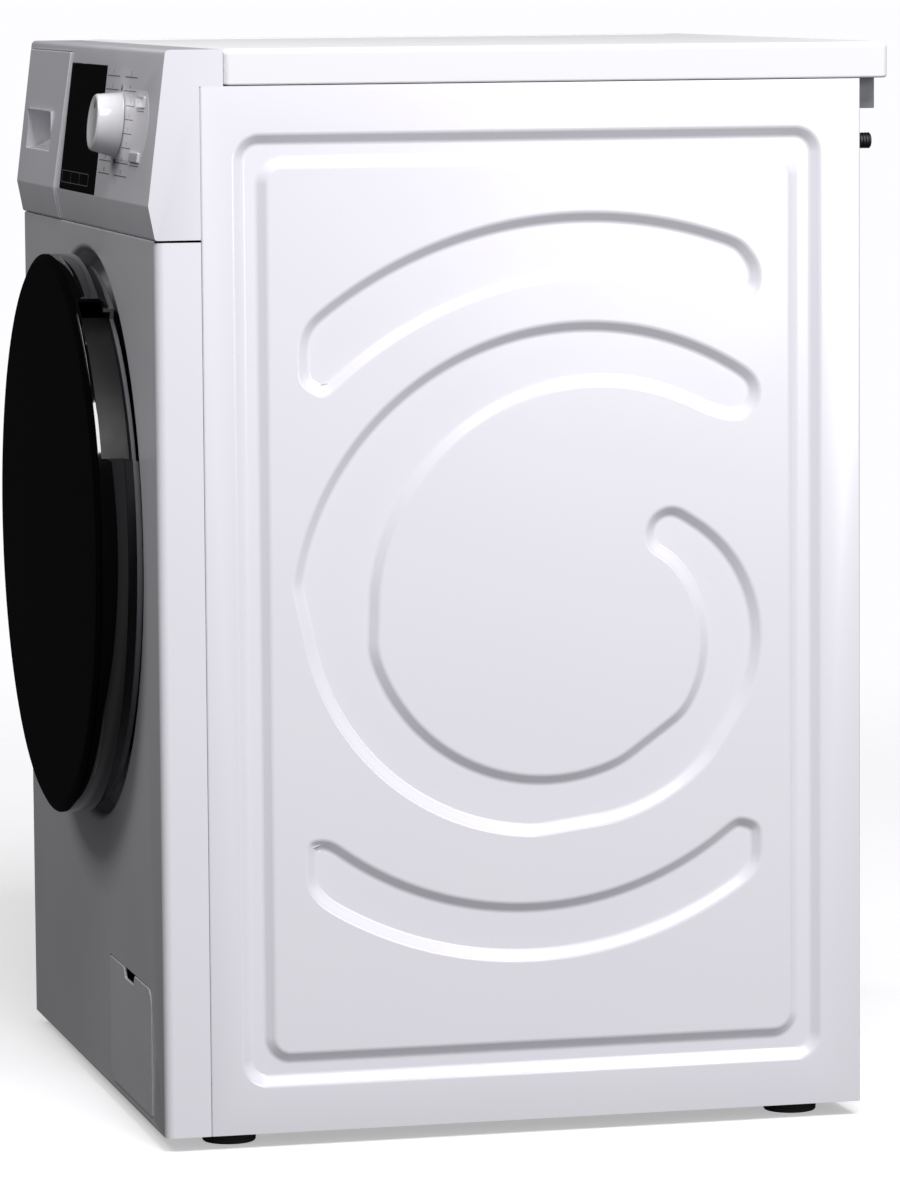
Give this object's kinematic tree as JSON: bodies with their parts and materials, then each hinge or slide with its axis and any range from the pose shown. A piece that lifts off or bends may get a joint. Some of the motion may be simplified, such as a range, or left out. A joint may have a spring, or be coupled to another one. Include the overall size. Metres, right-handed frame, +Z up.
{
  "type": "front load washing machine",
  "caption": "Front load washing machine: white steel cabinet, pressed side panels, round black glass door, sloping control panel, detergent drawer, sprung tub and belt driven drum.",
  "frame": {"origin": "on the floor, under the middle of the bounding box", "axes": "+Z up, -Y out of the front where the door is, +X to the right of someone facing the front"},
  "size_m": [0.595, 0.619, 0.85],
  "materials": {
    "white_enamel": "gloss stove enamel",
    "white_laminate": "white laminate on chipboard, satin",
    "white_plastic": "moulded ABS, satin gloss",
    "black_gloss_plastic": "piano black, polished",
    "black_glass": "tempered glass, black printed behind",
    "clear_glass": "pressed clear glass",
    "grey_plastic": "moulded polypropylene",
    "dark_plastic": "moulded, fine grain",
    "circuit_board": "fibreglass board, satin",
    "grey_rubber": "moulded EPDM, matt",
    "black_rubber": "matt rubber",
    "zinc_steel": "zinc plated",
    "stainless_steel": "rolled stainless, bright",
    "cast_aluminium": "as cast",
    "concrete": "cast, rough"
  },
  "bodies": {
    "cabinet": {"base_frame": "zinc_steel", "side_panel_left": "white_enamel", "side_panel_right": "white_enamel", "front_panel": "white_enamel", "rear_panel": "white_enamel", "rear_cover": "white_enamel", "rear_top_rail": "grey_plastic", "top_brace": "zinc_steel", "worktop": "white_laminate", "console": "white_plastic", "display_window": "black_gloss_plastic", "control_board": "circuit_board", "dispenser_housing": "white_plastic", "inlet_valve": "white_plastic", "cable_gland": "dark_plastic", "drain_spigot": "grey_plastic", "drain_pump": "dark_plastic", "door_lock": "dark_plastic", "hinge_bracket": "zinc_steel", "hinge_pin": "zinc_steel", "damper_cylinder_left": "grey_plastic", "damper_cylinder_right": "grey_plastic", "door_gasket": "grey_rubber", "suspension_spring_left": "zinc_steel", "suspension_spring_right": "zinc_steel"},
    "drawer": {"drawer_front": "white_plastic", "drawer_tray": "white_plastic"},
    "knob": {"program_knob": "white_plastic"},
    "upper_button": {"button_upper": "white_plastic"},
    "lower_button": {"button_lower": "white_plastic"},
    "door": {"door_rim": "black_gloss_plastic", "door_glass": "black_glass", "door_inner_ring": "grey_plastic", "door_bowl": "clear_glass", "door_grip": "dark_plastic", "hinge_leaf": "zinc_steel"},
    "catch": {"door_hook": "zinc_steel"},
    "flap": {"service_flap": "white_enamel"},
    "filter": {"pump_filter": "grey_plastic"},
    "tub": {"tub_front": "grey_plastic", "tub_rear": "grey_plastic", "counterweight_front": "concrete", "counterweight_top": "concrete", "motor": "cast_aluminium", "heater": "zinc_steel", "bearing": "zinc_steel", "damper_rod_left": "zinc_steel", "damper_rod_right": "zinc_steel", "drive_belt": "black_rubber"},
    "drum_set": {"drum": "stainless_steel", "drum_lifter_1": "white_plastic", "drum_lifter_2": "white_plastic", "drum_lifter_3": "white_plastic", "drum_spider_shaft": "cast_aluminium", "drum_pulley": "cast_aluminium"},
    "motor_rotor": {"motor_pulley": "zinc_steel"},
    "leg_front_left": {"foot_front_left": "black_rubber"},
    "leg_front_right": {"foot_front_right": "black_rubber"},
    "leg_rear_left": {"foot_rear_left": "black_rubber"},
    "leg_rear_right": {"foot_rear_right": "black_rubber"}
  },
  "joints": [
    {"name": "drawer_slide", "type": "slide", "parent": "cabinet", "child": "drawer", "axis": [0, -1, 0], "range_m": [0, 0.2]},
    {"name": "knob_turn", "type": "hinge", "parent": "cabinet", "child": "knob", "pos_m": [0.14, -0.27231, 0.789], "axis": [0, -0.9924, 0.1231], "continuous": true},
    {"name": "upper_button_press", "type": "slide", "parent": "cabinet", "child": "upper_button", "axis": [0, 0.9924, -0.1231], "range_m": [0, 0.0015], "stiffness_N_per_m": 900, "springref_m": -0.0003},
    {"name": "lower_button_press", "type": "slide", "parent": "cabinet", "child": "lower_button", "axis": [0, 0.9924, -0.1231], "range_m": [0, 0.0015], "stiffness_N_per_m": 900, "springref_m": -0.0003},
    {"name": "door_swing", "type": "hinge", "parent": "cabinet", "child": "door", "pos_m": [-0.214, -0.2905, 0.4555], "axis": [0, 0, -1], "range_deg": [0, 115]},
    {"name": "catch_swing", "type": "hinge", "parent": "door", "child": "catch", "pos_m": [0.205, -0.2825, 0.4555], "axis": [0, 0, -1], "range_deg": [0, 8], "stiffness_Nm_per_rad": 1.5, "springref_deg": -2.86},
    {"name": "flap_hinge", "type": "hinge", "parent": "cabinet", "child": "flap", "pos_m": [0, -0.27375, 0.01925], "axis": [1, 0, 0], "range_deg": [0, 90]},
    {"name": "filter_turn", "type": "hinge", "parent": "cabinet", "child": "filter", "pos_m": [0.156, -0.2745, 0.084], "axis": [0, -1, 0], "range_deg": [0, 120]},
    {"name": "tub_bounce", "type": "slide", "parent": "cabinet", "child": "tub", "axis": [0, 0, 1], "range_m": [-0.012, 0.012], "stiffness_N_per_m": 20000, "springref_m": 0.01344, "deforming": ["door_gasket", "suspension_spring_left", "suspension_spring_right"]},
    {"name": "drum_spin", "type": "hinge", "parent": "tub", "child": "drum_set", "pos_m": [0, -0.2745, 0.4555], "axis": [0, 1, 0], "continuous": true},
    {"name": "motor_spin", "type": "hinge", "parent": "tub", "child": "motor_rotor", "pos_m": [0.03, -0.2745, 0.1185], "axis": [0, 1, 0], "continuous": true},
    {"name": "leg_front_left_screw", "type": "slide", "parent": "cabinet", "child": "leg_front_left", "axis": [0, 0, -1], "range_m": [0, 0.012]},
    {"name": "leg_front_right_screw", "type": "slide", "parent": "cabinet", "child": "leg_front_right", "axis": [0, 0, -1], "range_m": [0, 0.012]},
    {"name": "leg_rear_left_screw", "type": "slide", "parent": "cabinet", "child": "leg_rear_left", "axis": [0, 0, -1], "range_m": [0, 0.012]},
    {"name": "leg_rear_right_screw", "type": "slide", "parent": "cabinet", "child": "leg_rear_right", "axis": [0, 0, -1], "range_m": [0, 0.012]}
  ],
  "couplings": [
    {"joint": "motor_spin", "follows": "drum_spin", "ratio": 12.727}
  ]
}
